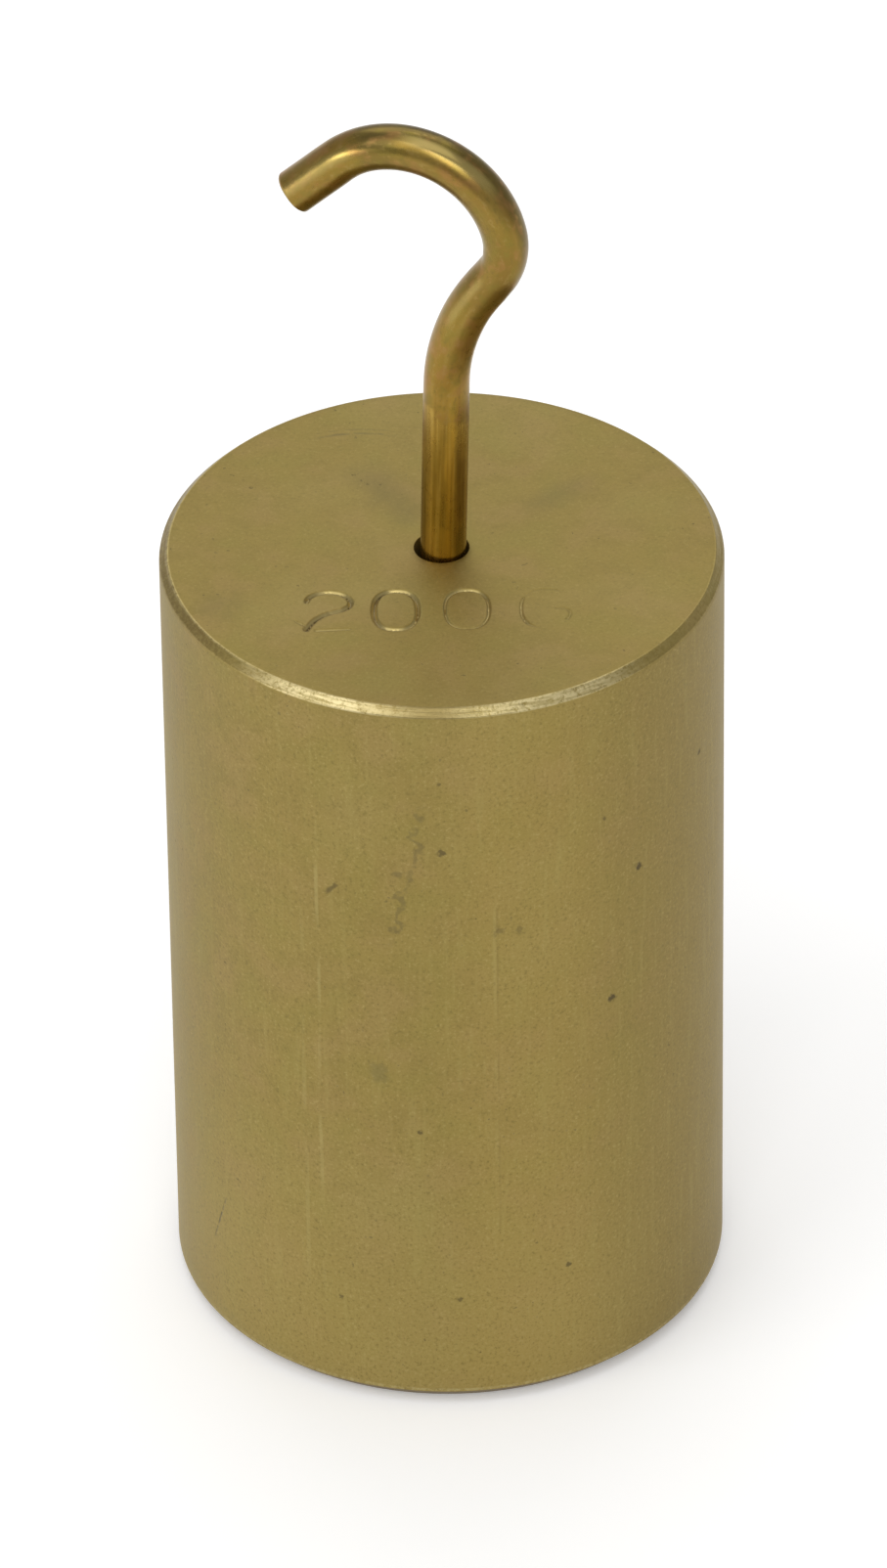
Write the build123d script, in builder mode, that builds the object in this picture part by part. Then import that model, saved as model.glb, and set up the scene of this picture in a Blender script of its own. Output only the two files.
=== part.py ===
"""A hooked brass weight of 200 g: a turned brass cylinder with a swivelling hook of bent brass rod.

Millimetres. +Z is up, and the origin is the centre of the base. The hook's plane is XZ at rest, and the hook
turns about Z. The hook's rod runs down through a clearance bore in the body and ends in an upset head. The head
turns in a pocket, under a thrust washer and over a pressed disc. Below the disc is the adjusting chamber, with
the lead shot that brings the weight to its nominal mass, and a plug pressed in from the base closes it.
"""

import os
from math import atan2, degrees, pi, sin, sqrt

from build123d import *

# Body: a length of drawn bar, faced square and chamfered at both ends.
BODY_D = 27.0
BODY_H = 41.6
TOP_CHAMFER = 0.4
BASE_CHAMFER = 0.75

# Hook: one length of round rod, bent in one plane. Heights are from the body's top face.
ROD_D = 2.2
TIP_CHAMFER = 0.15
LEAN_START = -3.5
LEAN_RADIUS = 20.0
LEAN_ANGLE = 1.6
NECK_START = 9.5
NECK_RADIUS = 10.6
NECK_ANGLE = 34.3  # the neck's direction, from the vertical
KNEE_RADIUS = 3.16
CROWN_RADIUS = 4.89
CROWN_X = -1.45
CROWN_RISE = 17.5
TIP_ANGLE = 134.4  # where the crown ends and the straight tip starts, about the crown's centre
TIP_LENGTH = 3.25

# The hook's head and what holds it.
GUIDE_BORE_D = 2.64
POCKET_D = 7.0
POCKET_TOP = 13.8  # height above the base
WASHER_D = 6.4
WASHER_BORE_D = 2.5
WASHER_T = 0.8
HEAD_D = 5.2
HEAD_T = 1.2
HEAD_CHAMFER = 0.25
SWIVEL_PLAY = 0.1  # above and below the head, and above the washer
DISC_T = 1.5

# Adjusting chamber, its shot and its plug.
CHAMBER_D = 9.0
PLUG_SETBACK = 0.4
PLUG_T = 3.0
PLUG_CHAMFER = 0.3
SHOT_D = 2.0
SHOT_GAP = 0.03  # round each ball
SHOT_LAYERS = 2
OUTER_SHOT = 10
INNER_SHOT = 3

# The nominal mass, stamped in the top face as V grooves. Places are along and across the line of characters.
STAMP_TURN = 19.7  # the line of characters, from the hook's plane, about Z
STAMP_Y = -5.15
STROKE_HEIGHT = 3.1
STROKE_WIDTH = 1.95
GROOVE_SLOPE = 1.25  # a groove's half width over its depth
TWO_X, TWO_DEPTH = -5.4, 0.14
FIRST_ZERO_X, FIRST_ZERO_DEPTH = -2.2, 0.14
SECOND_ZERO_X, SECOND_ZERO_DEPTH = 1.15, 0.11
G_X, G_DEPTH = 5.2, 0.06

BRASS_G_PER_MM3 = 8.5e-3
LEAD_G_PER_MM3 = 11.3e-3

# Heights above the base that follow from the sizes above.
washer_z = POCKET_TOP - SWIVEL_PLAY - WASHER_T
head_z = washer_z - SWIVEL_PLAY - HEAD_T
pocket_floor = head_z - SWIVEL_PLAY
disc_z = pocket_floor - DISC_T
plug_top = PLUG_SETBACK + PLUG_T

os.makedirs("parts", exist_ok=True)
mass_g = {}


def write(part, label, g_per_mm3=BRASS_G_PER_MM3):
    """Writes the piece to its own STEP file, and notes its mass."""
    part.label = label
    export_step(part, f"parts/{label}.step")
    mass_g[label] = part.volume * g_per_mm3


def zero_strokes():
    """The centreline of a 0 about the origin: an ellipse in two halves."""
    with BuildLine() as strokes:
        EllipticalCenterArc((0, 0), STROKE_WIDTH / 2, STROKE_HEIGHT / 2, arc_size=180)
        EllipticalCenterArc((0, 0), STROKE_WIDTH / 2, STROKE_HEIGHT / 2, start_angle=180, arc_size=180)
    return strokes.line


def two_strokes():
    """The centreline of a 2 about the origin: a round head, a slanting back and a straight foot."""
    w, h = STROKE_WIDTH / 2, STROKE_HEIGHT / 2
    with BuildLine() as strokes:
        head = ThreePointArc((-w, h * 0.45), (0, h), (w, h * 0.4))
        back = TangentArc(head @ 1, (w * 0.45, -h * 0.2), tangent=head % 1)
        Line(back @ 1, (-w, -h))
        Line((-w, -h), (w, -h))
    return strokes.line


def g_strokes():
    """The centreline of a G about the origin: an open ellipse with a short upright and bar."""
    w, h = STROKE_WIDTH / 2, STROKE_HEIGHT / 2
    with BuildLine() as strokes:
        bowl = EllipticalCenterArc((0, 0), w, h, start_angle=40, arc_size=280)
        bar = Line(bowl @ 1, ((bowl @ 1).X, -h * 0.1))
        Line(bar @ 1, (w * 0.2, -h * 0.1))
    return strokes.line


# Body: the turned envelope with its bores.
with BuildPart() as weight_body:
    with BuildSketch(Plane.XZ):
        with BuildLine():
            Polyline(
                (0, 0),
                (BODY_D / 2 - BASE_CHAMFER, 0),
                (BODY_D / 2, BASE_CHAMFER),
                (BODY_D / 2, BODY_H - TOP_CHAMFER),
                (BODY_D / 2 - TOP_CHAMFER, BODY_H),
                (0, BODY_H),
                close=True,
            )
        make_face()
    revolve(axis=Axis.Z)
    with BuildSketch(Plane.XY):
        Circle(CHAMBER_D / 2)
    extrude(amount=pocket_floor, mode=Mode.SUBTRACT)
    with BuildSketch(Plane.XY.offset(pocket_floor)):
        Circle(POCKET_D / 2)
    extrude(amount=POCKET_TOP - pocket_floor, mode=Mode.SUBTRACT)
    with BuildSketch(Plane.XY.offset(POCKET_TOP)):
        Circle(GUIDE_BORE_D / 2)
    extrude(amount=BODY_H - POCKET_TOP, mode=Mode.SUBTRACT)
    marks = (
        (two_strokes(), TWO_X, TWO_DEPTH),
        (zero_strokes(), FIRST_ZERO_X, FIRST_ZERO_DEPTH),
        (zero_strokes(), SECOND_ZERO_X, SECOND_ZERO_DEPTH),
        (g_strokes(), G_X, G_DEPTH),
    )
    for strokes, mark_x, depth in marks:
        half_width = GROOVE_SLOPE * depth
        place = Pos(0, 0, BODY_H) * Rot(0, 0, STAMP_TURN) * Pos(mark_x, STAMP_Y, 0)
        for stroke in strokes.edges():
            groove = place * stroke
            across = Vector(0, 0, 1).cross(groove % 0)
            with BuildSketch(Plane(groove @ 0, x_dir=across, z_dir=groove % 0)):
                with BuildLine():
                    Polyline((-half_width, 0), (0, -depth), (half_width, 0), (0, depth), close=True)
                make_face()
            sweep(path=groove, mode=Mode.SUBTRACT)
            with Locations(groove @ 0 - (0, 0, depth / 2), groove @ 1 - (0, 0, depth / 2)):
                Cone(0, half_width, depth, mode=Mode.SUBTRACT)
write(weight_body.part, "weight_body")

# Hook: the knee's arc touches the neck's line and, from inside, the crown.
with BuildLine(Plane.XZ) as rod_line:
    guide = Line((0, head_z + HEAD_T / 2), (0, BODY_H + LEAN_START))
    lean = JernArc(guide @ 1, guide % 1, LEAN_RADIUS, -LEAN_ANGLE)
    shank_length = (BODY_H + NECK_START - (lean @ 1).Z) / (lean % 1).Z
    shank = Line(lean @ 1, lean @ 1 + (lean % 1) * shank_length)
    neck = JernArc(shank @ 1, shank % 1, NECK_RADIUS, LEAN_ANGLE - NECK_ANGLE)
    crown_centre = Vector(CROWN_X, 0, BODY_H + CROWN_RISE)
    neck_way = neck % 1
    knee_side = neck_way.rotate(Axis((0, 0, 0), (0, -1, 0)), 90)
    offset_start = neck @ 1 + knee_side * KNEE_RADIUS - crown_centre
    along = offset_start.dot(neck_way)
    centre_gap = CROWN_RADIUS - KNEE_RADIUS
    slope_length = -along + sqrt(along**2 - offset_start.dot(offset_start) + centre_gap**2)
    slope = Line(neck @ 1, neck @ 1 + neck_way * slope_length)
    knee_centre = slope @ 1 + knee_side * KNEE_RADIUS
    to_knee = knee_centre - crown_centre
    touch_angle = degrees(atan2(to_knee.Z, to_knee.X))
    knee = JernArc(slope @ 1, slope % 1, KNEE_RADIUS, NECK_ANGLE + touch_angle)
    crown = JernArc(knee @ 1, knee % 1, CROWN_RADIUS, TIP_ANGLE - touch_angle)
    tip = Line(crown @ 1, crown @ 1 + (crown % 1) * TIP_LENGTH)

with BuildPart() as hook:
    with BuildSketch(Plane(rod_line.line @ 0, z_dir=rod_line.line % 0)):
        Circle(ROD_D / 2)
    sweep(path=rod_line.line)
    chamfer(hook.faces().sort_by_distance(tip @ 1)[0].edges(), TIP_CHAMFER)
    with BuildSketch(Plane.XY.offset(head_z)):
        Circle(HEAD_D / 2)
    extrude(amount=HEAD_T)
    chamfer(hook.edges().group_by(Axis.Z)[0], HEAD_CHAMFER)
write(hook.part, "hook")

with BuildPart() as thrust_washer:
    with BuildSketch(Plane.XY.offset(washer_z)):
        Circle(WASHER_D / 2)
        Circle(WASHER_BORE_D / 2, mode=Mode.SUBTRACT)
    extrude(amount=WASHER_T)
write(thrust_washer.part, "thrust_washer")

with BuildPart() as retaining_disc:
    with BuildSketch(Plane.XY.offset(disc_z)):
        Circle(CHAMBER_D / 2)
    extrude(amount=DISC_T)
write(retaining_disc.part, "retaining_disc")

with BuildPart() as base_plug:
    with BuildSketch(Plane.XY.offset(PLUG_SETBACK)):
        Circle(CHAMBER_D / 2)
    extrude(amount=PLUG_T)
    chamfer(base_plug.edges().group_by(Axis.Z)[-1], PLUG_CHAMFER)
write(base_plug.part, "base_plug")

# Shot: each layer is a ring of balls against the chamber's wall, round a smaller ring.
pitch = SHOT_D + 2 * SHOT_GAP
outer_ring = CHAMBER_D / 2 - SHOT_D / 2 - SHOT_GAP
inner_ring = pitch / 2 / sin(pi / INNER_SHOT)
with BuildPart() as adjusting_shot:
    for layer in range(SHOT_LAYERS):
        layer_z = plug_top + SHOT_GAP + SHOT_D / 2 + layer * pitch
        for ring, count in ((outer_ring, OUTER_SHOT), (inner_ring, INNER_SHOT)):
            with Locations((0, 0, layer_z)):
                with PolarLocations(ring, count):
                    Sphere(SHOT_D / 2)
write(adjusting_shot.part, "adjusting_shot", LEAD_G_PER_MM3)

print("overall height", round(hook.part.bounding_box().max.Z, 2))
print("mass in grams", {name: round(mass, 2) for name, mass in mass_g.items()}, round(sum(mass_g.values()), 2))
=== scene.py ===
"""A hooked brass weight of 200 g, as it stands on a pale table under soft light.

The turned cylinder and the bent hook are rebuilt here as fine meshes: the cylinder with its stamped top, the
wear on its edges and its drawn-bar lines, and the hook with its bends, its saw-cut tip and its upset head.
The pieces inside keep their own shapes and get their finish here. Sizes are in millimetres until MM turns
them into metres.
"""
from math import cos, pi, radians, sin

import bpy
import numpy as np
from mathutils import Matrix, Quaternion, Vector, noise


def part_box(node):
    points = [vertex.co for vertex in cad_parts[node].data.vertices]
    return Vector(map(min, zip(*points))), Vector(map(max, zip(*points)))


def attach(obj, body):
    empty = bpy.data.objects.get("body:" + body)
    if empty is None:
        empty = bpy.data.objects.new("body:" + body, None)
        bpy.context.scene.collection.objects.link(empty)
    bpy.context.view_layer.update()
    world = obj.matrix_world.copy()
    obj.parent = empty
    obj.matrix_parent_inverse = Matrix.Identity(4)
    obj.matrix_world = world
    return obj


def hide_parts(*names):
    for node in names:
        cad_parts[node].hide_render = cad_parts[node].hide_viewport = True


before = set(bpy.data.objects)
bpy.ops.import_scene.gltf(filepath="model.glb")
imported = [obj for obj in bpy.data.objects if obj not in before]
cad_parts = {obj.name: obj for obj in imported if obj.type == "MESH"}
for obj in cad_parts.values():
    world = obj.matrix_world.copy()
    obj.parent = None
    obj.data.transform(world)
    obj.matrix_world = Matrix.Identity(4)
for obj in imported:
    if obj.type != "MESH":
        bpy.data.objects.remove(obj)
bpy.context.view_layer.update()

MM = 0.001

# The cylinder, from the frame, and the details that its box doesn't give.
body_low, body_high = (np.array(corner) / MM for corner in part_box("weight_body"))
BODY_R = (body_high[1] - body_low[1]) / 2
BODY_H = body_high[2]
TOP_CHAMFER = 0.4
RIM_HEIGHT = BODY_H - TOP_CHAMFER
BASE_CHAMFER = 0.75
EDGE_ROUND = 0.03
BORE_R = 1.32
BORE_BREAK = 0.03
POCKET_R = 3.5
CHAMBER_R = 4.5
PLUG_TOP = 3.4
POCKET_ROOF = 13.8
POCKET_FLOOR = 11.5

# The side that the stamp faces, round from -Y towards +X. The wall's marks are placed round from it.
FRONT = radians(19.7)

# The hook's rod, the upset head at its lower end, and its saw-cut tip.
ROD_R = 1.1
HEAD_R = 2.6
HEAD_T = 1.2
HEAD_BREAK = 0.25
HEAD_Z = 11.6
TIP_BREAK = 0.13
TIP_LEAN = 0.33
TIP_LEAN_FROM = 2.0  # how far back from the tip the lean starts

# The rod as it is bent, from the head up: each run's bend radius (None where straight), and its length, or
# its turn in degrees towards the tip's side.
ROD_RUNS = (
    (None, 26.5),
    (20.0, -1.6),
    (None, 12.447),
    (10.6, -32.7),
    (None, 1.149),
    (3.16, 47.91),
    (4.89, 120.79),
    (None, 3.25),
)

SHANK_END = 38.2  # along the rod from its head, where the rubbed shank ends under the bends
KNEE_AT = 47.7  # along the rod from its head, the middle of the tightest bend
CROWN_AT = 57.0  # along the rod from its head, just past the top of its last bend

# The tip's end ring by ring, in parts of its break: how far in from the rod's side, and how far back.
TIP_PROFILE = ((0.0, 1.0), (0.15, 0.6), (0.4, 0.25), (1.0, 0.0), (3.0, 0.0), (6.0, 0.0))

# The stamp, cut as soft V grooves. Its line of characters is parallel to the front, this far from the axis.
STAMP_Y = -5.15
GROOVE_SLOPE = 0.87
ZERO_HALF_WIDTH = 1.04
ZERO_HALF_HEIGHT = 1.57

# Dark spots on the wall: how far round it from the front, height, size and strength.
WALL_SPOTS = (
    (-0.2, 33.4, 0.25, 0.7), (10.1, 29.8, 0.27, 0.9), (8.4, 22.8, 0.27, 0.9), (15.15, 33.6, 0.26, 0.8),
    (2.5, 28.6, 0.34, 0.35), (3.5, 28.5, 0.28, 0.35), (-0.3, 37.4, 0.16, 0.5), (8.0, 33.6, 0.14, 0.6),
    (-1.4, 16.7, 0.17, 0.7), (-5.5, 5.9, 0.16, 0.6), (5.9, 7.6, 0.18, 0.7), (0.4, 6.5, 0.18, 0.6),
)

# The cylinder's mesh is fine this far round from the front, where the stamp and the bright chamfer are.
FINE_SIDE = radians(66)
FINE_STEP = radians(0.42)
COARSE_STEP = radians(2.2)
STAMP_INNER, STAMP_OUTER = 3.2, 9.5  # radii that hold the stamp

# The rod's mesh is fine from just below where it comes out of the cylinder, this far from its head.
SHOWS_FROM = 27
ROD_STEP = 0.12
HIDDEN_STEP = 1.5
ROUND_ROD = np.linspace(0, 2 * pi, 56, endpoint=False)

TABLE_GAP = 0.02  # keeps the base and the table out of one plane, where they would flicker from below


def smooth_step(value, low, high):
    """0 below low, 1 above high, and a soft S between."""
    t = np.clip((value - low) / (high - low), 0, 1)
    return t * t * (3 - 2 * t)


def wander(points, scale, seed):
    """Smooth noise of about -1 to 1 at each point, with features of about `scale`."""
    offset = Vector((seed * 17.3, seed * 5.1, seed * 9.7))
    return np.array([noise.noise(Vector(p) / scale + offset) for p in points])


# ---------------------------------------------------------------------------------------------- meshes


def make_object(name, points, faces, body, material, replaces):
    """A smooth mesh piece that rides on a body, in the finish of a slot, in place of a CAD node."""
    mesh = bpy.data.meshes.new(name)
    mesh.from_pydata((np.asarray(points) * MM).tolist(), [], faces)
    mesh.polygons.foreach_set("use_smooth", [True] * len(mesh.polygons))
    mesh.set_sharp_from_angle(angle=radians(60))
    mesh.materials.append(material)
    piece = bpy.data.objects.new(name, mesh)
    bpy.context.scene.collection.objects.link(piece)
    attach(piece, body)
    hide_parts(replaces)
    return piece


def grid_faces(rows, columns, close_rows):
    """Quads between rows of points, each row closed on itself."""
    faces = []
    for row in range(rows if close_rows else rows - 1):
        after = (row + 1) % rows
        for column in range(columns):
            beside = (column + 1) % columns
            low, high = row * columns, after * columns
            faces.append((low + column, low + beside, high + beside, high + column))
    return faces


def spaced(start, end, step):
    """Evenly spaced values from start up to but not including end, about step apart."""
    count = max(1, round(abs(end - start) / step))
    return list(start + (end - start) * np.arange(count) / count)


# ---------------------------------------------------------------------------------------------- the stamp


def oval_stroke(start, end, half_width=ZERO_HALF_WIDTH, samples=140):
    """Points on a squarish oval of a character's height, from one angle in degrees to another."""
    angle = np.radians(np.linspace(start, end, samples))
    c, s = np.cos(angle), np.sin(angle)
    squareness = 0.82
    along = np.sign(c) * np.abs(c) ** squareness * half_width
    return np.stack([along, np.sign(s) * np.abs(s) ** squareness * ZERO_HALF_HEIGHT], axis=1)


def curved_stroke(start, pull_a, pull_b, end, samples=80):
    """Points on a Bezier curve."""
    t = np.linspace(0, 1, samples)[:, None]
    start, pull_a, pull_b, end = (np.array(p) for p in (start, pull_a, pull_b, end))
    return (1 - t) ** 3 * start + 3 * t * (1 - t) ** 2 * pull_a + 3 * t**2 * (1 - t) * pull_b + t**3 * end


def straight_stroke(start, end):
    """Points on a straight stroke."""
    third = (np.array(end) - start) / 3
    return curved_stroke(start, start + third, end - third, end)


def two_strokes():
    """A 2, struck twice at its lower left, with a shallow foot: each stroke, and its depth at either end."""
    yield curved_stroke((-1.03, 0.8), (-0.9, 1.75), (0.75, 1.8), (1.03, 0.85)), 0.19, 0.2
    yield curved_stroke((1.03, 0.85), (1.15, 0.3), (0.75, 0.05), (0.05, -0.15)), 0.2, 0.19
    yield curved_stroke((0.55, 0.05), (-0.45, -0.35), (-0.65, -0.6), (-1.05, -1.47)), 0.18, 0.22
    yield straight_stroke((-0.6, -1.57), (1.0, -1.48)), 0.12, 0.1
    yield straight_stroke((-1.6, -0.75), (-1.15, -1.15)), 0.06, 0.1


def zero_strokes():
    """A 0, a little shallower at its lower right."""
    yield oval_stroke(-20, 160), 0.18, 0.21
    yield oval_stroke(160, 340), 0.21, 0.16


def faint_zero_strokes():
    """A 0 struck less deep, and least at its foot."""
    yield oval_stroke(-90, 90), 0.08, 0.16
    yield oval_stroke(90, 270), 0.16, 0.08


def g_strokes():
    """A G struck askew, so that only its left side is clear."""
    yield oval_stroke(150, 225, half_width=1.2), 0.08, 0.12
    yield oval_stroke(225, 260, half_width=1.2), 0.12, 0.02
    yield oval_stroke(140, 60, half_width=1.2), 0.05, 0.05
    yield curved_stroke((0.45, 0.0), (1.1, 0.15), (1.3, -0.4), (0.95, -0.9)), 0.07, 0.09


STAMP = ((-5.4, two_strokes), (-2.2, zero_strokes), (1.16, faint_zero_strokes), (4.93, g_strokes))


def stamp_relief(x, y):
    """Depth of the stamp in the top face, for places along and across its line."""
    groove = np.zeros_like(x)
    for mark_x, strokes in STAMP:
        near = (np.abs(x - mark_x) < 2) & (np.abs(y - STAMP_Y) < 2.2)
        for line, depth_start, depth_end in strokes():
            depths = np.linspace(depth_start, depth_end, len(line))
            gap_x = x[near, None] - mark_x - line[None, :, 0]
            gap_y = y[near, None] - STAMP_Y - line[None, :, 1]
            cut = np.maximum((depths[None] - np.hypot(gap_x, gap_y) / GROOVE_SLOPE).max(axis=1), 0)
            groove[near] = np.maximum(groove[near], cut**2 / (cut + 0.01))
    return groove


# ---------------------------------------------------------------------------------------------- the cylinder


def wall_angles():
    """Angles round the cylinder from its front: fine where the stamp is, coarse behind."""
    fine = spaced(-FINE_SIDE, FINE_SIDE, FINE_STEP)
    return np.array(fine + spaced(FINE_SIDE, 2 * pi - FINE_SIDE, COARSE_STEP))


def cylinder_profile():
    """The turned outline as (radius, height) all the way round, from the bore's mouth outwards."""
    top, base, rim = BODY_H, 0.0, EDGE_ROUND
    top_edge, base_edge = BODY_R - TOP_CHAMFER, BODY_R - BASE_CHAMFER
    outline = [(BORE_R, top - BORE_BREAK), (BORE_R + BORE_BREAK * 0.4, top - BORE_BREAK * 0.25)]
    outline += [(r, top) for r in spaced(BORE_R + BORE_BREAK, STAMP_INNER, 0.3)]
    outline += [(r, top) for r in spaced(STAMP_INNER, STAMP_OUTER, 0.06)]
    outline += [(r, top) for r in spaced(STAMP_OUTER, top_edge - 0.1, 0.3)]
    outline += [(top_edge - 2 * rim, top), (top_edge, top - rim * 0.5)]
    outline += [(top_edge + d, top - d) for d in spaced(2 * rim, TOP_CHAMFER - rim, 0.05)]
    outline += [(BODY_R - rim * 0.5, RIM_HEIGHT), (BODY_R, RIM_HEIGHT - 2 * rim)]
    outline += [(BODY_R, z) for z in spaced(RIM_HEIGHT - 0.2, BASE_CHAMFER + 0.1, 1.0)]
    outline += [(BODY_R, BASE_CHAMFER + 2 * rim), (BODY_R - rim * 0.5, BASE_CHAMFER)]
    outline += [(base_edge + d, d) for d in spaced(BASE_CHAMFER - rim, 2 * rim, 0.08)]
    outline += [(base_edge, rim * 0.5), (base_edge - 2 * rim, base)]
    outline += [(r, base) for r in spaced(base_edge - 0.2, CHAMBER_R + 0.1, 0.5)]
    outline += [(CHAMBER_R + 0.05, base), (CHAMBER_R, base + 0.05)]
    outline += [(CHAMBER_R, PLUG_TOP), (CHAMBER_R, POCKET_FLOOR), (POCKET_R, POCKET_FLOOR)]
    outline += [(POCKET_R, POCKET_ROOF), (BORE_R, POCKET_ROOF)]
    outline += [(BORE_R, z) for z in spaced(POCKET_ROOF + 1, top - BORE_BREAK, 3.0)]
    return np.array(outline)


def chamfer_wear(angle, points):
    """How far the top chamfer's edge wanders, round the rim, as a file and handling leave it."""
    ripple = wander(points, 2.5, seed=1) * 0.035 + wander(points, 0.7, seed=2) * 0.015
    return ripple - 0.05 * np.exp(-((angle + radians(52)) / radians(16)) ** 2)


def make_cylinder(material):
    """The brass cylinder as one closed mesh."""
    profile = cylinder_profile()
    angles = wall_angles()
    radius = np.repeat(profile[:, 0], len(angles))
    height = np.repeat(profile[:, 1], len(angles))
    angle = np.tile(angles, len(profile))

    along, across = radius * np.sin(angle), -radius * np.cos(angle)
    on_top = (height > BODY_H - 0.001) & (radius > BORE_R + BORE_BREAK)
    struck = np.zeros_like(height)
    struck[on_top] = stamp_relief(along[on_top], across[on_top])
    height -= struck

    rim = (height > RIM_HEIGHT - 0.1) & (radius > BODY_R - TOP_CHAMFER - 0.12)
    place = np.stack([along, across, height * 0.3], axis=1)
    wear = chamfer_wear((angle[rim] + pi) % (2 * pi) - pi, place[rim])
    inwards = np.clip((BODY_R - radius[rim]) / TOP_CHAMFER, 0, 1)
    sunk = inwards * smooth_step(inwards, 0.0, 0.3) * (1 - smooth_step(inwards, 0.75, 1.0))
    height[rim] -= np.maximum(0, 0.03 + wear) * sunk
    radius[rim] -= np.maximum(0, 0.02 + wear * 0.5) * (1 - inwards) * (1 - smooth_step(1 - inwards, 0.7, 1.0))

    turn = angle + FRONT
    points = np.stack([radius * np.sin(turn), -radius * np.cos(turn), height], axis=1)
    faces = grid_faces(len(profile), len(angles), close_rows=True)
    piece = make_object(
        "brass_cylinder", points, faces, "weight", material, replaces="weight_body"
    )
    attribute = piece.data.attributes.new("struck", "FLOAT", "POINT")
    attribute.data.foreach_set("value", struck.astype(np.float32))


# ---------------------------------------------------------------------------------------------- the hook


def rod_stations():
    """Places along the hook's centreline: x, z, heading from +Z towards -X, way from the head, and bend."""
    x, z, heading, travelled = 0.0, HEAD_Z, 0.0, 0.0
    stations = []
    for bend_radius, amount in ROD_RUNS:
        length = amount if bend_radius is None else abs(radians(amount)) * bend_radius
        turn = 0.0 if bend_radius is None else radians(amount)
        step = HIDDEN_STEP if travelled + length < SHOWS_FROM else ROD_STEP
        count = max(2, round(length / step))
        for _ in range(count):
            stations.append((x, z, heading, travelled, turn / length))
            heading += turn / count / 2
            chord = length / count
            x, z = x - sin(heading) * chord, z + cos(heading) * chord
            heading += turn / count / 2
            travelled += chord
    stations.append((x, z, heading, travelled, 0.0))
    return np.array(stations)


def hook_rings(stations):
    """The rings from head to tip, as (station, radius, shift ahead), and the number of the tip's first."""
    head = (
        (HEAD_R * 0.5, 0), (HEAD_R - HEAD_BREAK, 0), (HEAD_R, HEAD_BREAK), (HEAD_R, HEAD_T - 0.05),
        (HEAD_R - 0.05, HEAD_T), (ROD_R + 0.06, HEAD_T), (ROD_R, HEAD_T + 0.08),
    )
    rod_length = stations[-1][3]
    shaft = stations[(stations[:, 3] > HEAD_T + 0.3) & (stations[:, 3] < rod_length - TIP_BREAK - 0.02)]
    rings = [(stations[0], r, ahead) for r, ahead in head]
    rings += [(station, ROD_R, 0) for station in shaft]
    tip = [(stations[-1], ROD_R - inset * TIP_BREAK, -back * TIP_BREAK) for inset, back in TIP_PROFILE]
    return rings + tip, len(rings)


def hook_ring(ring, bend, rod_length, is_tip_edge):
    """One ring's points, and the same points as if the rod were straight, with z as the way from the head."""
    (x, z, heading, travelled, _), r, shift = ring
    ahead = np.array([-sin(heading), 0, cos(heading)])
    inward = np.array([-cos(heading), 0, -sin(heading)])
    sideways = np.array([0.0, 1.0, 0.0])
    centre = np.array([x, 0, z]) + ahead * shift
    flat = abs(bend) * 0.1 * ROD_R
    for a in ROUND_ROD:
        squash = 1 - flat * cos(a) ** 2 + 0.4 * flat * sin(a) ** 2
        spoke = inward * cos(a) + sideways * sin(a)
        point = centre + r * squash * spoke
        if is_tip_edge:
            # The saw left a sharp corner on the inner side of the tip and a rounder one outside.
            sharp = 0.9 * smooth_step(cos(a), -0.6, 0.5) - 0.5 * smooth_step(-cos(a), 0.5, 1.0)
            point += sharp * (spoke * (ROD_R - r) - ahead * shift)
        if travelled > rod_length - TIP_LEAN_FROM:
            # The cut leans, so that the rod is shorter on the side of the stamp.
            share = (travelled - rod_length + TIP_LEAN_FROM) / TIP_LEAN_FROM
            point += ahead * share * TIP_LEAN * sin(a) * min(1.0, r / ROD_R)
        yield point, (r * cos(a), r * sin(a), travelled + shift)


def handle_marks(points, straightened, away, rod_length):
    """The rod's skin is never quite round, and the inside of the knee is pinched."""
    dent = wander(straightened * np.array([1, 1, 0.4]), 0.9, seed=5) * 0.008
    way = straightened[:, 2]
    on_shaft = (way > SHOWS_FROM - 1) & (way < rod_length - TIP_BREAK)
    points[on_shaft] += away[on_shaft] * np.minimum(dent[on_shaft], 0.004)[:, None]
    angle = np.arctan2(straightened[:, 1], straightened[:, 0])
    pinch = 0.06 * np.exp(-(((way - KNEE_AT) / 0.4) ** 2) - (angle / 0.6) ** 2)
    points -= away * pinch[:, None]


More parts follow.
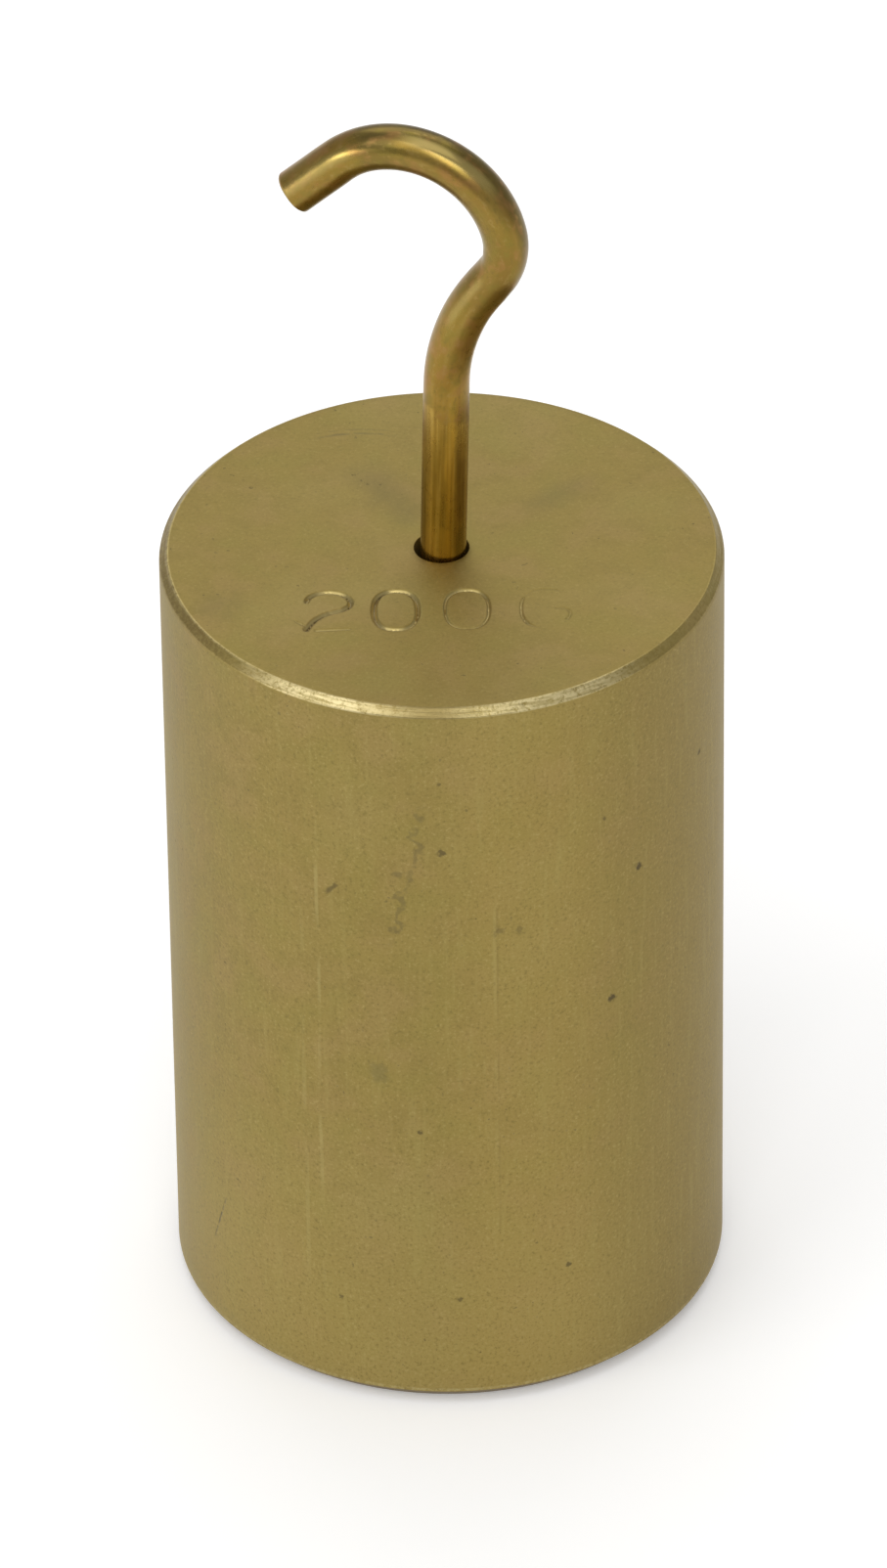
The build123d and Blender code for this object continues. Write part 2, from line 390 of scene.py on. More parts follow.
def make_hook(material):
    """The hook as one closed mesh: upset head, shank, bends and saw-cut tip."""
    stations = rod_stations()
    rod_length = stations[-1][3]
    rings, tip_start = hook_rings(stations)

    # Smooth out the steps in the bend, so that the section's change of shape runs in and out of each bend.
    bends = np.array([station[4] for station, _, _ in rings])
    soft = np.convolve(np.pad(bends, 6, mode="edge"), np.ones(13) / 13, mode="valid")

    points, straightened = [], []
    for row, (ring, bend) in enumerate(zip(rings, soft)):
        for point, straight in hook_ring(ring, bend, rod_length, tip_start <= row < tip_start + 4):
            points.append(point)
            straightened.append(straight)
    points, straightened = np.array(points), np.array(straightened)
    centres = np.repeat([[station[0], 0, station[1]] for station, _, _ in rings], len(ROUND_ROD), axis=0)
    away = points - centres
    away /= np.maximum(np.linalg.norm(away, axis=1, keepdims=True), 1e-6)
    handle_marks(points, straightened, away, rod_length)

    count = len(ROUND_ROD)
    faces = grid_faces(len(rings), count, close_rows=False)
    faces.append(tuple(reversed(range(count))))
    last = (len(rings) - 1) * count
    faces.append(tuple(range(last, last + count)))
    piece = make_object("hook_rod", points, faces, "hook", material, replaces="hook")
    attribute = piece.data.attributes.new("straightened", "FLOAT_VECTOR", "POINT")
    attribute.data.foreach_set("vector", straightened.astype(np.float32).ravel())


# ---------------------------------------------------------------------------------------------- materials


class Field:
    """A number that varies over a surface. Arithmetic on fields adds Math nodes to the material."""

    def __init__(self, tree, socket):
        self.tree, self.socket = tree, socket

    def math(self, operation, *others):
        node = self.tree.nodes.new("ShaderNodeMath")
        node.operation = operation
        for socket, value in zip(node.inputs, (self, *others)):
            plug(self.tree, socket, value)
        return Field(self.tree, node.outputs[0])

    def __add__(self, other):
        return self.math("ADD", other)

    def __sub__(self, other):
        return self.math("SUBTRACT", other)

    def __mul__(self, other):
        return self.math("MULTIPLY", other)

    def __truediv__(self, other):
        return self.math("DIVIDE", other)

    def __abs__(self):
        return self.math("ABSOLUTE")

    def or_(self, other):
        return self.math("MAXIMUM", other)

    def inverse(self):
        return (self * -1.0) + 1.0

    def ramp(self, low, high):
        """0 at low and 1 at high, with a soft S between; low may be the larger."""
        node = self.tree.nodes.new("ShaderNodeMapRange")
        node.interpolation_type = "SMOOTHSTEP"
        plug(self.tree, node.inputs["Value"], self)
        if low < high:
            node.inputs["From Min"].default_value, node.inputs["From Max"].default_value = low, high
            return Field(self.tree, node.outputs[0])
        node.inputs["From Min"].default_value, node.inputs["From Max"].default_value = high, low
        return Field(self.tree, node.outputs[0]).inverse()


def plug(tree, socket, value):
    """Links a field to a socket, or sets the socket to a plain value."""
    if isinstance(value, Field):
        tree.links.new(value.socket, socket)
    else:
        socket.default_value = value


class Surface:
    """A material under construction, with coordinates in millimetres."""

    def __init__(self, name, coordinates="object"):
        self.material = bpy.data.materials.new(name)
        self.material.use_nodes = True
        self.tree = self.material.node_tree
        self.shader = self.tree.nodes["Principled BSDF"]
        if coordinates == "object":
            source = self.tree.nodes.new("ShaderNodeTexCoord").outputs["Object"]
            self.place = self.scaled(source, (1 / MM, 1 / MM, 1 / MM))
        else:
            self.place = self.attribute(coordinates)
        split = self.tree.nodes.new("ShaderNodeSeparateXYZ")
        self.tree.links.new(self.place, split.inputs[0])
        self.x, self.y, self.z = (Field(self.tree, output) for output in split.outputs)

    def scaled(self, vector, factors):
        node = self.tree.nodes.new("ShaderNodeVectorMath")
        node.operation = "MULTIPLY"
        self.tree.links.new(vector, node.inputs[0])
        node.inputs[1].default_value = factors
        return node.outputs[0]

    def attribute(self, name, output="Vector"):
        node = self.tree.nodes.new("ShaderNodeAttribute")
        node.attribute_name = name
        return node.outputs[output]

    def vector(self, x, y, z):
        node = self.tree.nodes.new("ShaderNodeCombineXYZ")
        for socket, value in zip(node.inputs, (x, y, z)):
            plug(self.tree, socket, value)
        return node.outputs[0]

    def noise(self, size, detail=2.0, stretch=(1, 1, 1), place=None, roughness=0.5):
        """Noise from 0 to 1 about 0.5, with features of about `size` millimetres, longer where stretched."""
        node = self.tree.nodes.new("ShaderNodeTexNoise")
        node.inputs["Scale"].default_value = 1 / size
        node.inputs["Detail"].default_value = detail
        node.inputs["Roughness"].default_value = roughness
        shrunk = self.scaled(place or self.place, [1 / s for s in stretch])
        self.tree.links.new(shrunk, node.inputs["Vector"])
        return Field(self.tree, node.outputs["Fac"])

    def specks(self, spacing, size, share, place=None):
        """Small round specks, one at most in each cell of the given spacing, in a share of the cells."""
        cells = self.tree.nodes.new("ShaderNodeTexVoronoi")
        cells.inputs["Scale"].default_value = 1 / spacing
        self.tree.links.new(place or self.place, cells.inputs["Vector"])
        chosen = self.tree.nodes.new("ShaderNodeSeparateColor")
        self.tree.links.new(cells.outputs["Color"], chosen.inputs[0])
        pick, vary = Field(self.tree, chosen.outputs[0]), Field(self.tree, chosen.outputs[1])
        distance = Field(self.tree, cells.outputs["Distance"]) * spacing
        reach = vary * size + size * 0.4
        return (distance / reach).ramp(1.0, 0.35) * pick.ramp(share, share - 0.001)

    def colours(self, *layers):
        """The first colour, with each later (colour, field) laid over it. Returns the last one's output."""
        current, *rest = layers
        for colour, amount in rest:
            node = self.tree.nodes.new("ShaderNodeMix")
            node.data_type = "RGBA"
            plug(self.tree, node.inputs["Factor"], amount)
            if isinstance(current, tuple):
                node.inputs["A"].default_value = (*current, 1)
            else:
                self.tree.links.new(current, node.inputs["A"])
            node.inputs["B"].default_value = (*colour, 1)
            current = node.outputs["Result"]
        return current

    def bump(self, height, strength, distance):
        """Tilts the normals by a height field."""
        node = self.tree.nodes.new("ShaderNodeBump")
        node.inputs["Strength"].default_value = strength
        node.inputs["Distance"].default_value = distance * MM
        plug(self.tree, node.inputs["Height"], height)
        self.tree.links.new(node.outputs["Normal"], self.shader.inputs["Normal"])

    def finish(self, colour, roughness, metallic=1.0):
        self.tree.links.new(colour, self.shader.inputs["Base Color"])
        plug(self.tree, self.shader.inputs["Roughness"], roughness)
        self.shader.inputs["Metallic"].default_value = metallic
        return self.material


def band(value, centre, half_width):
    """1 where a field is near a value, and 0 from half_width away."""
    return abs(value - centre).ramp(half_width, half_width * 0.35)


def between(value, start, full, fade, end):
    """0 up to start, 1 from full to fade, and 0 again from end."""
    return value.ramp(start, full) * value.ramp(end, fade)


def gap_from(value_a, a, value_b, b):
    """How far a place is from (a, b)."""
    offset_a, offset_b = value_a - a, value_b - b
    return (offset_a * offset_a + offset_b * offset_b).math("SQRT")


class CylinderSurface(Surface):
    """A material on the cylinder: arc is the way round the wall from its front, in millimetres."""

    def __init__(self, name):
        super().__init__(name)
        self.radius = gap_from(self.x, 0.0, self.y, 0.0)
        self.wall = self.radius.ramp(BODY_R - 0.12, BODY_R - 0.04)
        self.top = self.z.ramp(BODY_H - 0.3, BODY_H - 0.1) * self.wall.inverse()
        self.along = self.x * cos(FRONT) + self.y * sin(FRONT)
        self.across = self.y * cos(FRONT) - self.x * sin(FRONT)
        self.round_front = self.along.math("ARCTAN2", self.across * -1.0)
        self.arc = self.round_front * BODY_R
        self.torn = self.noise(0.2, detail=4, roughness=0.75)


def die_lines(s):
    """Raised lines that the drawing die left up the wall, and the groove beside the right one."""
    wobble = (s.noise(9.0, detail=1) - 0.5) * 0.25
    broken = s.noise(0.8, detail=3, stretch=(1, 1, 4)).ramp(0.38, 0.6)
    left = band(s.arc + wobble, -6.4, 0.13) * between(s.z, 4.0, 8.0, 31.0, 34.0)
    far_left = band(s.arc + wobble, -7.25, 0.16) * between(s.z, 5.0, 9.0, 24.0, 33.0)
    right = band(s.arc, 2.28, 0.11) * between(s.z, 10.0, 11.5, 32.0, 34.5)
    groove = band(s.arc, 2.42, 0.08) * between(s.z, 10.0, 11.5, 30.0, 34.5)
    return left.or_(far_left * 0.6).or_(right * 0.45) * broken, groove * broken


def wall_spot(s, arc_at, height_at, size, raggedness):
    """A ragged spot on the wall."""
    ragged = (s.noise(size * 0.8, detail=3) - 0.5) * (raggedness * size)
    return (gap_from(s.arc, arc_at, s.z, height_at) + ragged).ramp(size, size * 0.4) * s.wall


def dark_dash(s):
    """A short dark dash that leans, high on the wall and left of its front."""
    right, up = s.arc + 5.6, s.z - 30.6
    ragged = (s.noise(0.3, detail=2) - 0.5) * 0.2
    length = abs(right * 0.62 + up * 0.78 + ragged).ramp(0.5, 0.3)
    width = abs(right * 0.78 - up * 0.62 + ragged).ramp(0.16, 0.05)
    return length * width * s.wall


def dark_marks(s):
    """Flecks and specks all over, and the wall's larger spots in their places."""
    flecks = s.noise(0.34, detail=3, roughness=0.6).ramp(0.665, 0.72)
    flecks = flecks * s.noise(2.5, detail=2).ramp(0.45, 0.62)
    specks = s.specks(2.3, 0.09, 0.4).or_(s.specks(1.1, 0.05, 0.35)) * s.noise(5.0).ramp(0.34, 0.52)
    dark = (flecks * 0.55).or_(specks * 0.7)
    for arc_at, height_at, size, strength in WALL_SPOTS:
        dark = dark.or_(wall_spot(s, arc_at, height_at, size, raggedness=2.0) * strength)
    return dark.or_(dark_dash(s) * 0.6)


def wall_stain(s):
    """A thin crinkled stain that runs up the wall, left of its front."""
    crinkle = (s.noise(0.8, detail=2) - 0.5) * 2.6
    line = s.arc + (s.z - 32.0) * -0.22 + 1.85 + crinkle
    stain = band(line, 0.0, 0.3) * between(s.z, 27.4, 28.8, 35.2, 36.6) * s.wall
    return stain * s.noise(0.5, detail=4).ramp(0.38, 0.62)


def wall_scratch(s):
    """A short leaning scratch, low at the left."""
    line = (s.arc + 13.3) - (s.z - 7.0) * 0.36
    return band(line, 0.0, 0.08) * between(s.z, 5.3, 6.0, 8.0, 8.8) * s.wall


def top_streak(s, from_angle, start, end, width):
    """A soft mark on the top that runs out from the bore; its angle is round from the front."""
    out_x, out_y = sin(radians(from_angle)), -cos(radians(from_angle))
    out = s.along * out_x + s.across * out_y + (s.noise(1.5, detail=3) - 0.5) * 1.5
    aside = abs(s.across * out_x - s.along * out_y + (s.noise(1.2, detail=3) - 0.5) * 1.2)
    return between(out, start - 1, start + 1, end - 1, end + 1.5) * aside.ramp(width, 0.0) * s.top


def hook_shadows_and_smudge(s):
    """Soft dark marks on the top: two painted shadows of the hook, beside it, and a smudge near the left rim.
    """
    painted_hook_shadows = (top_streak(s, 209, 2.6, 7.2, 1.8) * 0.42).or_(top_streak(s, 127, 5.5, 8.5, 1.3) * 0.35)
    gap = gap_from(s.along, -10.5, s.across, -4.5) + (s.noise(1.5, detail=3) - 0.5) * 2.5
    return painted_hook_shadows.or_(gap.ramp(1.6, 0.32) * s.top * 0.28)


def top_scuff(s):
    """A curved double scuff behind the hook, as the rim of something round leaves."""
    gap = gap_from(s.along, -3.9, s.across, 3.6)
    scuff = band(gap, 6.05, 0.12).or_(band(gap, 6.4, 0.08) * 0.6) * abs(s.along + 4.1).ramp(2.2, 1.2)
    return scuff * s.across.ramp(5.0, 6.0) * s.noise(0.5).ramp(0.3, 0.6) * s.top


def top_chamfer(s):
    """1 on the top chamfer."""
    inner = BODY_R - TOP_CHAMFER
    return s.z.ramp(RIM_HEIGHT - 0.05, RIM_HEIGHT + 0.04) * s.radius.ramp(inner - 0.08, inner + 0.02)


def chamfer_tears_and_painted_light(s, chamfer):
    """The chamfer: torn in texture, with painted highlights in streaks either side of its front and along its
    inner edge at the left, and painted shade at its front and far left.
    """
    front = s.round_front
    streaks = s.noise(0.11, detail=2, place=s.vector(s.arc * 0.06, s.z + s.arc * 0.02, 0.0))
    # painted highlights in streaks either side of the front
    rubbed = abs(front + 0.45).ramp(0.42, 0.05).or_(abs(front - 0.4).ramp(0.45, 0.1) * 0.85)
    rubbed = rubbed * (streaks.ramp(0.36, 0.56) * 0.6 + 0.4)
    dulled_shade = front.ramp(-0.75, -1.0) * front.ramp(-2.8, -1.9)
    inner_edge_highlight = abs(s.radius - (BODY_R - TOP_CHAMFER)).ramp(0.09, 0.02) * front.ramp(-0.5, -0.8)
    inner_edge_highlight = inner_edge_highlight * front.ramp(-2.8, -1.9) * s.z.ramp(RIM_HEIGHT, RIM_HEIGHT + 0.1)
    return (
        # torn texture, then painted shade at the front, painted highlights either side of it, painted shade
        # at the far left, and a painted highlight along the inner edge
        ((0.40, 0.31, 0.115), chamfer * s.torn.ramp(0.35, 0.65) * 0.5),
        ((0.24, 0.185, 0.075), chamfer * abs(front + 0.03).ramp(0.22, 0.05) * 0.7),
        ((0.75, 0.635, 0.34), chamfer * rubbed * s.torn.ramp(0.3, 0.55)),
        ((0.26, 0.185, 0.065), chamfer * dulled_shade * s.torn.ramp(0.65, 0.4) * 0.8),
        ((0.62, 0.51, 0.23), inner_edge_highlight * s.torn.ramp(0.3, 0.55) * 0.5),
    )


def foot_shade_and_highlight(s):
    """The base chamfer and the base are darkened with painted shade, under a broken painted highlight along
    the wall's lowest edge.
    """
    foot = s.z.ramp(BASE_CHAMFER + 0.05, BASE_CHAMFER - 0.05)
    edge = abs(s.z - BASE_CHAMFER - 0.1).ramp(0.14, 0.05) * s.wall * s.torn.ramp(0.4, 0.6)
    return ((0.50, 0.42, 0.20), edge * 0.6), ((0.15, 0.11, 0.07), foot * 0.75)


def tone_and_painted_light(s, mottle):
    """Slow changes of tone over the cylinder: patches; painted light making the wall paler towards its foot;
    painted shade on its far right and far left sides; and a warmer band right of its front.
    """
    warmth = s.noise(2.6, detail=3)
    cloud = s.noise(8.0, detail=2)
    front = s.round_front
    far_right = front.ramp(0.25, 1.1) * front.ramp(2.8, 1.6)
    far_left = front.ramp(-0.9, -1.4) * front.ramp(-2.8, -1.9)
    return (
        ((0.268, 0.198, 0.062), mottle.ramp(0.6, 0.36) * 0.55),
        ((0.33, 0.236, 0.086), warmth.ramp(0.5, 0.66) * 0.55),
        ((0.30, 0.242, 0.067), warmth.ramp(0.5, 0.34) * 0.45),
        ((0.37, 0.298, 0.11), cloud.ramp(0.45, 0.75) * 0.3),
        # painted light: the wall paler towards its foot
        ((0.37, 0.285, 0.095), s.z.ramp(20.0, 1.0) * 0.6),
        # painted shade on the far right side
        ((0.27, 0.20, 0.062), far_right * s.wall * 0.9),
        ((0.40, 0.285, 0.085), abs(front - 0.3).ramp(0.4, 0.1) * s.wall * 0.25),
        # painted shade on the far left side
        ((0.26, 0.195, 0.068), far_left * s.wall * 0.45),
    )


def blasted_brass():
    """The cylinder: a fine blasted grain over drawn bar, with stains and specks, and painted light:
    highlights at the rim, and shade and shadows.
    """
    s = CylinderSurface("blasted_brass")
    grain = s.noise(0.17, detail=2, roughness=0.7)
    mottle = s.noise(1.3, detail=4, roughness=0.6)
    drawn = s.noise(0.35, detail=2, stretch=(1, 1, 14)) * s.wall
    facets = s.noise(0.09, detail=1, place=s.vector(s.arc * 0.03, s.z, 0.0))
    lines, groove = die_lines(s)
    dark = dark_marks(s)
    scratch = wall_scratch(s)
    smear = wall_spot(s, -3.4, 20.1, 0.8, raggedness=1.8) * 0.35
    mark = (scratch * s.noise(0.4).ramp(0.35, 0.55)).or_(smear)
    bright = s.specks(1.7, 0.035, 0.25, place=s.scaled(s.place, (1.0, 1.0, 1.02)))
    chamfer = top_chamfer(s)
    struck = Field(s.tree, s.attribute("struck", "Fac"))
    burnish_and_highlight = struck.ramp(0.015, 0.09)

    colour = s.colours(
        (0.315, 0.238, 0.073),
        *tone_and_painted_light(s, mottle),
        ((0.17, 0.128, 0.042), grain.ramp(0.5, 0.22) * (s.wall * 0.25 + 0.35)),
        ((0.50, 0.405, 0.165), grain.ramp(0.52, 0.78) * (s.wall * 0.1 + 0.28)),
        ((0.40, 0.33, 0.115), drawn.ramp(0.52, 0.75) * 0.18),
        # the die lines painted lighter: a painted highlight along their ridges
        ((0.45, 0.385, 0.155), lines * 0.28),
        ((0.19, 0.14, 0.055), groove * 0.22),
        ((0.13, 0.10, 0.048), dark),
        ((0.16, 0.125, 0.055), wall_stain(s) * 0.5),
        ((0.13, 0.11, 0.062), mark * 0.75),
        # painted shadows of the hook beside it, a smudge near the left rim, and a scuff behind the hook
        ((0.17, 0.14, 0.065), hook_shadows_and_smudge(s).or_(top_scuff(s) * 0.7) * 0.75),
        ((0.60, 0.50, 0.26), bright * 0.4),
        *chamfer_tears_and_painted_light(s, chamfer),
        # painted highlight in the grooves over their burnish, then painted shade in their bottoms
        ((0.45, 0.36, 0.15), burnish_and_highlight * 0.75),
        ((0.14, 0.105, 0.05), struck.ramp(0.12, 0.17) * 0.8),
        *foot_shade_and_highlight(s),
    )
    rough = (mottle - 0.5) * 0.1 + (grain - 0.5) * 0.14 + 0.56
    rough = rough - chamfer * 0.16 - lines * 0.03 + dark * 0.15 - burnish_and_highlight * 0.24
    relief = grain * 0.5 + drawn * 0.12 + lines * 0.4 - dark * 0.6 - scratch * 0.7
    s.bump(relief + chamfer * (s.torn + facets * 1.4), 0.6, 0.03)
    return s.finish(colour, rough)


def crown_patina_and_shade(s):
    """The crown: darker on its inner side, and painted shade on its outer back, in a band across its top and
    in the gap between its two highlights.
    """
    angle = s.y.math("ARCTAN2", s.x)
    outwards = s.x * (-0.79 / ROD_R) + s.y * (0.61 / ROD_R)
    inner = outwards.ramp(-0.25, -0.7) * between(s.z, KNEE_AT, KNEE_AT + 2, KNEE_AT + 8, KNEE_AT + 10.5)
    outer = outwards.ramp(0.2, 0.6) * between(s.z, KNEE_AT - 1.5, KNEE_AT + 2, KNEE_AT + 8.5, KNEE_AT + 11.5)
    highlight_gap_shade = abs(s.z - CROWN_AT).ramp(1.2, 0.4) * abs(angle + 2.4).ramp(0.6, 0.2)
    # painted shade: the outer back, the band across the top, and the gap between the highlights
    return (
        ((0.21, 0.15, 0.038), inner * 0.5),
        ((0.15, 0.108, 0.032), outer * 0.9),
        ((0.20, 0.14, 0.036), abs(s.z - CROWN_AT - 0.1).ramp(1.3, 0.4) * 0.75),
        ((0.13, 0.095, 0.03), highlight_gap_shade * 0.7),
    )


def painted_highlights(s):
    """Painted highlights, as paler patches on the front of the rod: on the crown, from there to the tip, and
    below the knee.
    """
    angle = s.y.math("ARCTAN2", s.x)
    crown = abs(angle + 2.56).ramp(0.36, 0.08) * between(s.z, 51.0, 52.4, 55.0, 56.4)
    tip = abs(angle + 2.02).ramp(0.42, 0.1) * s.z.ramp(57.8, 58.8)
    neck = abs(angle + 1.15).ramp(0.3, 0.05) * between(s.z, 43.0, 44.2, 46.2, 47.2)
    return crown.or_(tip * 0.55).or_(neck * 0.5)


def shank_painted_reflections(s, aside, broad):
    """Painted reflections in streaks along the shank's front, placed across it from its left to its right: a
    pale one, a darker painted shade, and an amber one.
    """
    on_front = (s.x * sin(FRONT) + s.y * cos(FRONT)).ramp(0.0, -0.5) * s.z.ramp(SHANK_END + 3, SHANK_END - 3)
    amber_reflection = abs(aside - 0.26).ramp(0.32, 0.04) * on_front * (broad.ramp(0.35, 0.6) * 0.5 + 0.5)
    return (
        ((0.70, 0.48, 0.12), abs(aside + 0.66).ramp(0.2, 0.05) * on_front * 0.6),
        ((0.36, 0.23, 0.04), abs(aside + 0.22).ramp(0.17, 0.04) * on_front * 0.45),
        ((0.85, 0.52, 0.07), amber_reflection * 0.75),
    )


def rod_brass():
    """The hook: drawn rod, tarnished in patches, rubbed bright below the bends, with fine lines along it, and
    painted highlights, shade and reflections.
    """
    s = Surface("rod_brass", coordinates="straightened")
    lines = s.noise(0.17, detail=2, stretch=(1, 1, 40))
    broad = s.noise(0.6, detail=2, stretch=(1, 1, 12))
    patches = s.noise(1.4, detail=4, stretch=(1, 1, 1.6), roughness=0.6)
    blush = s.noise(2.2, detail=3, stretch=(1, 1, 2))
    pits = s.specks(1.3, 0.07, 0.3)
    grain = s.noise(0.09, detail=3, roughness=0.7)
    fine = s.noise(0.28, detail=3, stretch=(1, 1, 1.5), roughness=0.65)
    blotch = s.noise(0.6, detail=2, stretch=(1, 1, 1.4))

    ragged = (s.noise(0.9, detail=2) - 0.5) * 1.6 + (s.x * -0.5)
    shank = (s.z + ragged).ramp(SHANK_END + 0.25, SHANK_END - 0.25)
    bent = shank.inverse()
    film = bent * patches.ramp(0.3, 0.65)
    neck = between(s.z, 36.5, 38.0, 41.0, 43.5)
    knee = abs(s.z - KNEE_AT + 0.5).ramp(3.5, 1.0)
    highlight_patches = painted_highlights(s)

    # Across the rod, -1 at the left of its front and 1 at the right.
    aside = s.x * (-cos(FRONT) / ROD_R) + s.y * (sin(FRONT) / ROD_R)
    # warmer on the right of the neck, and a painted highlight on the left of the rod where the shank meets
    # the neck
    warm_side = aside.ramp(0.05, 0.4) * between(s.z, 38.5, 40.5, 45.0, 47.0)
    pale_highlight = aside.ramp(0.3, -0.2) * between(s.z, 36.8, 37.8, 39.0, 40.2)
    colour = s.colours(
        (0.27, 0.168, 0.034),
        ((0.52, 0.335, 0.062), shank),
        ((0.30, 0.20, 0.055), film * neck.inverse() * 0.5),
        ((0.31, 0.178, 0.036), neck * bent * 0.85),
        ((0.27, 0.186, 0.036), blush.ramp(0.55, 0.38) * 0.6),
        ((0.31, 0.172, 0.038), blush.ramp(0.48, 0.64) * 0.65),
        ((0.38, 0.27, 0.068), broad.ramp(0.52, 0.72) * 0.4),
        ((0.20, 0.125, 0.026), knee * 0.5),
        *crown_patina_and_shade(s),
        ((0.42, 0.262, 0.06), warm_side.or_(pale_highlight) * 0.6),
        ((0.24, 0.155, 0.03), broad.ramp(0.5, 0.36) * shank * 0.4),
        ((0.72, 0.50, 0.12), broad.ramp(0.5, 0.66) * shank * 0.4),
        # painted reflections and shade in streaks down the shank
        *shank_painted_reflections(s, aside, broad),
        ((0.19, 0.12, 0.03), lines.ramp(0.54, 0.36) * (shank * 0.18 + 0.1)),
        ((0.75, 0.55, 0.16), lines.ramp(0.56, 0.7) * shank * 0.25),
        ((0.19, 0.13, 0.038), fine.ramp(0.49, 0.3) * (bent * 0.25 + 0.2)),
        ((0.37, 0.265, 0.085), fine.ramp(0.53, 0.7) * bent * 0.4),
        ((0.34, 0.172, 0.06), blotch.ramp(0.52, 0.68) * bent * 0.4),
        ((0.23, 0.18, 0.035), blotch.ramp(0.48, 0.32) * bent * 0.4),
        # painted highlights on the crown, towards the tip and below the knee
        ((0.44, 0.345, 0.12), highlight_patches * 0.75),
        ((0.10, 0.065, 0.045), pits * 0.8),
    )
    rough = (patches - 0.5) * 0.12 + (lines - 0.5) * 0.08 + (fine - 0.5) * 0.08 + 0.28
    rough = rough + film * 0.03 + pits * 0.2 - highlight_patches * 0.09
    s.bump(lines * (shank * 0.7 + 0.15) + grain * 0.25 + fine * 0.4 - pits, 0.25, 0.012)
    return s.finish(colour, rough)


def turned_brass(name, tone):
    """Brass faced on a lathe: fine rings about the axis."""
    s = Surface(name)
    radius = gap_from(s.x, 0.0, s.y, 0.0)
    rings = s.noise(0.14, detail=2, place=s.vector(radius, s.z, 0.0))
    stain = s.noise(2.2, detail=3)
    dull = tuple(0.62 * c for c in tone)
    colour = s.colours(tone, (dull, stain.ramp(0.6, 0.35) * 0.6), (dull, rings.ramp(0.5, 0.3) * 0.4))
    s.bump(rings, 0.5, 0.015)
    return s.finish(colour, (stain - 0.5) * 0.15 + (rings - 0.5) * 0.15 + 0.36)


def lead():
    """Dull grey lead, oxidised in patches."""
    s = Surface("lead")
    bloom = s.noise(0.5, detail=4)
    colour = s.colours((0.17, 0.17, 0.18), ((0.30, 0.30, 0.30), bloom.ramp(0.45, 0.7) * 0.7))
    s.bump(bloom, 0.4, 0.02)
    return s.finish(colour, bloom * 0.2 + 0.5, metallic=0.8)


def table_top():
    """A plain pale light table, faintly uneven."""
    s = Surface("pale_table")
    tone = s.noise(60.0, detail=2)
    colour = s.colours((0.93, 0.93, 0.93), ((0.95, 0.95, 0.95), tone))
    s.shader.inputs["Emission Color"].default_value = (1, 1, 1, 1)
    s.shader.inputs["Emission Strength"].default_value = 0.2
    return s.finish(colour, tone * 0.05 + 0.75, metallic=0.0)


# ---------------------------------------------------------------------------------------------- the scene


def set_material(node, material):
    """Gives a CAD node its finish."""
    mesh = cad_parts[node].data
    mesh.materials.clear()
    mesh.materials.append(material)


def make_camera():
    """Looks down on the front from above, from about 0.6 m, through a long lens."""
    elevation, distance, roll = 0.6305, 594.2, -0.0134
    aim_right, aim_height = -0.06, 27.6
    right = Vector((cos(FRONT), sin(FRONT), 0))
    away = Vector((-sin(FRONT), cos(FRONT), 0))
    up = Vector((0, 0, 1))
    back = up * sin(elevation) - away * cos(elevation)
    above = up * cos(elevation) + away * sin(elevation)
    place = (right * aim_right + up * aim_height + back * distance) * MM
    rolled_right = right * cos(roll) + above * sin(roll)
    rolled_above = above * cos(roll) - right * sin(roll)
    camera = bpy.data.objects.new("camera", bpy.data.cameras.new("camera"))
    camera.data.sensor_width = 36
    camera.data.lens = 282.0
    camera.data.clip_start, camera.data.clip_end = 0.01, 10
    axes = Matrix((rolled_right, rolled_above, back)).transposed()
    camera.matrix_world = Matrix.Translation(place) @ axes.to_4x4()
    bpy.context.scene.collection.objects.link(camera)
    bpy.context.scene.camera = camera


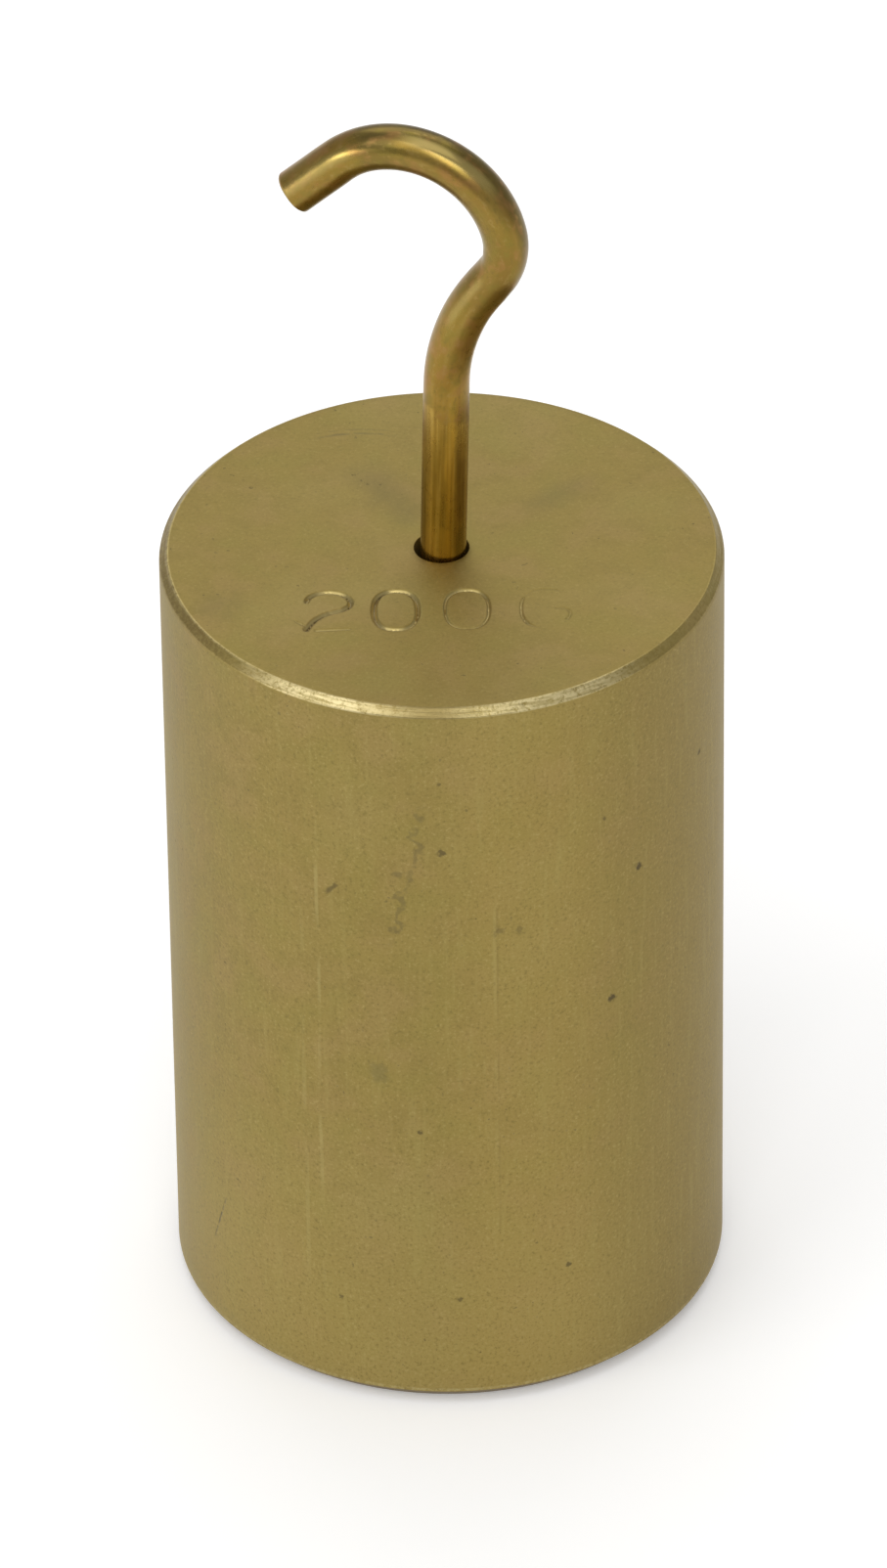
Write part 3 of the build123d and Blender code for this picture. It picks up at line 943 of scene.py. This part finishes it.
def make_light(name, azimuth, elevation, distance, size, power, tilt=0.0):
    """A soft light aimed at the weight; azimuth is round from its front towards its right."""
    light = bpy.data.lights.new(name, "AREA")
    light.shape = "RECTANGLE"
    light.size, light.size_y = size
    light.energy = power
    turn = FRONT + radians(azimuth)
    flat = cos(radians(elevation))
    way = Vector((sin(turn) * flat, -cos(turn) * flat, sin(radians(elevation))))
    lamp = bpy.data.objects.new(name, light)
    lamp.location = way * distance + Vector((0, 0, 0.04))
    lamp.rotation_euler = (way.to_track_quat("Z", "Y") @ Quaternion((0, 0, 1), radians(tilt))).to_euler()
    bpy.context.scene.collection.objects.link(lamp)


def make_table():
    """A wide pale sheet just under the base."""
    mesh = bpy.data.meshes.new("table")
    half = 2.0
    corners = [(-half, -half), (half, -half), (half, half), (-half, half)]
    mesh.from_pydata([(x, y, -TABLE_GAP * MM) for x, y in corners], [], [(0, 1, 2, 3)])
    mesh.materials.append(table_top())
    table = bpy.data.objects.new("table", mesh)
    bpy.context.scene.collection.objects.link(table)


def make_world():
    """Even white light from all round."""
    world = bpy.data.worlds.new("studio")
    world.use_nodes = True
    background = world.node_tree.nodes["Background"]
    background.inputs["Color"].default_value = (1, 1, 1, 1)
    background.inputs["Strength"].default_value = 0.5
    bpy.context.scene.world = world


make_cylinder(blasted_brass())
make_hook(rod_brass())
bright = turned_brass("turned_brass", (0.55, 0.41, 0.16))
set_material("thrust_washer", bright)
set_material("retaining_disc", bright)
set_material("base_plug", turned_brass("plug_brass", (0.40, 0.30, 0.11)))
set_material("adjusting_shot", lead())

make_camera()
make_table()
make_world()
make_light("window", azimuth=-55, elevation=47, distance=1.0, size=(0.6, 0.6), power=1.6)
make_light("lamp", azimuth=0, elevation=44, distance=1.0, size=(0.5, 0.36), power=2.0, tilt=-25)
make_light("ceiling", azimuth=0, elevation=88, distance=1.1, size=(0.9, 0.9), power=1.7)
make_light("back_card", azimuth=180, elevation=46, distance=1.2, size=(1.2, 0.7), power=3.2)
make_light("left_card", azimuth=-64, elevation=8, distance=0.9, size=(0.3, 0.18), power=0.9)
bpy.context.scene.view_settings.view_transform = "Standard"
